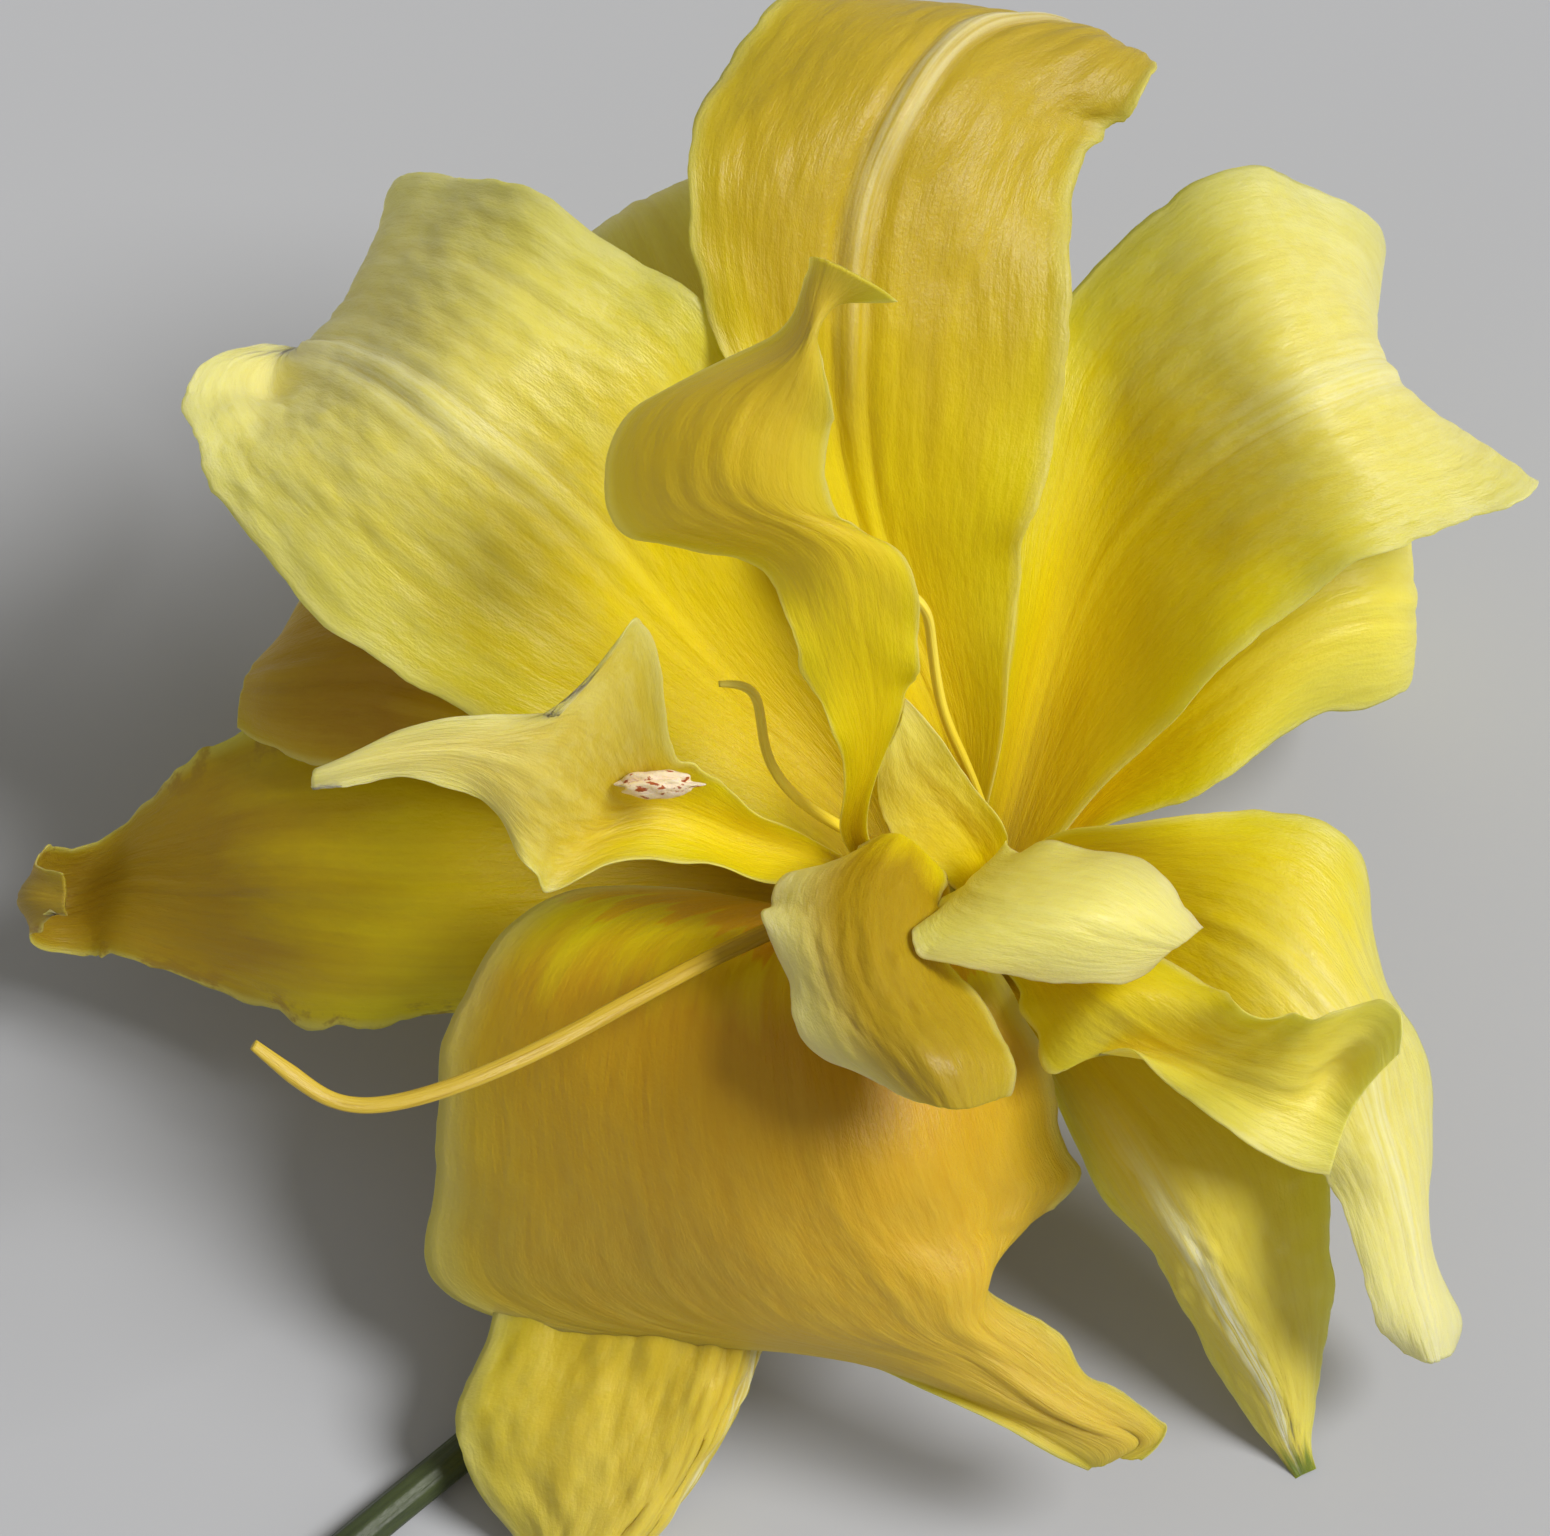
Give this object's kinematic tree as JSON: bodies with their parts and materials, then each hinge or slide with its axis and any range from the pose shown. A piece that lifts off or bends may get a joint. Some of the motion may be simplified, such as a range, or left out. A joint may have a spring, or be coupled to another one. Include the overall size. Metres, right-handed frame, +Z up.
{
  "type": "daylily flower",
  "caption": "Double yellow daylily flower with wide recurved tepals, crumpled petaloids and a long curved style, cut with a short stalk and lying face up.",
  "frame": {"origin": "on the surface the flower lies on, under the middle of its outline", "axes": "+Z up out of the flower's throat; the upper petal reaches along +Y, the cut stalk lies towards -X -Y"},
  "size_m": [0.1343, 0.1301, 0.1001],
  "materials": {
    "petal": "soft satin, golden towards the throat, fine veins along its length",
    "sepal": "soft satin, narrower and crinkled between the veins, green at the tips",
    "petaloid": "soft satin, pale cream yellow, crumpled",
    "style": "smooth satin",
    "filament": "smooth satin",
    "anther": "matt, cream with rust-red spots",
    "tube": "smooth satin, yellow green",
    "stalk": "smooth satin, dark green"
  },
  "bodies": {
    "root": {"style": "style", "left_filament": "filament", "right_filament": "filament", "perianth_tube": "tube", "stalk": "stalk", "left_petaloid": "petaloid", "upper_petaloid": "petaloid", "lower_petaloid": "petaloid", "right_petaloid": "petaloid", "ruffled_petaloid": "petaloid", "inner_petaloid": "petaloid", "anther_remnant": "anther", "top_petal": "petal", "upper_right_petal": "petal", "upper_left_petal": "petal", "lower_right_petal": "petal", "bottom_petal": "petal", "left_sepal": "sepal", "second_left_sepal": "sepal", "back_left_sepal": "sepal", "right_sepal": "sepal", "front_right_sepal": "sepal", "front_left_sepal": "sepal"}
  },
  "joints": []
}
